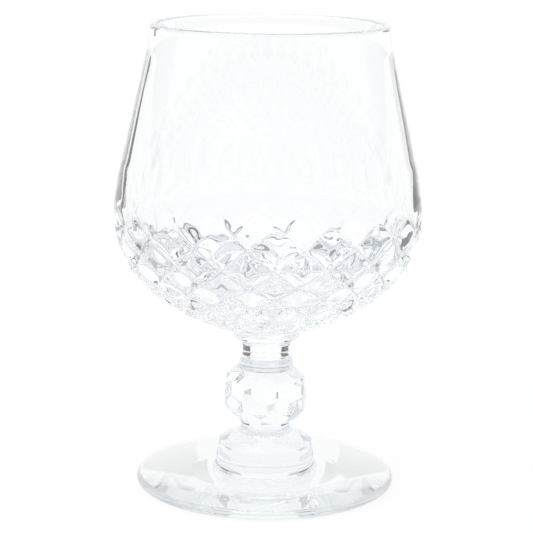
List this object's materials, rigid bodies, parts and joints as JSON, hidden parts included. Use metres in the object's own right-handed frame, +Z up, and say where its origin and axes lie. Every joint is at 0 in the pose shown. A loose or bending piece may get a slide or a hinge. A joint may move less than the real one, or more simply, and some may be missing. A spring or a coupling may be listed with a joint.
{
  "type": "brandy snifter",
  "caption": "Clear cut-glass snifter with a tapering bowl, a band of cut diamonds, a faceted ball knop and a round foot.",
  "frame": {"origin": "middle of the ring under the foot that the glass stands on", "axes": "+Z up along the glass's axis, -Y towards the viewer of the picture, +X to the viewer's right"},
  "size_m": [0.0858, 0.0858, 0.13],
  "materials": {
    "foot_glass": "polished clear crystal",
    "stem_glass": "polished clear crystal",
    "bowl_glass": "polished clear crystal, cut diamonds"
  },
  "bodies": {
    "root": {"foot": "foot_glass", "lower_collar": "stem_glass", "knop": "stem_glass", "neck": "stem_glass", "bowl": "bowl_glass"}
  },
  "joints": []
}
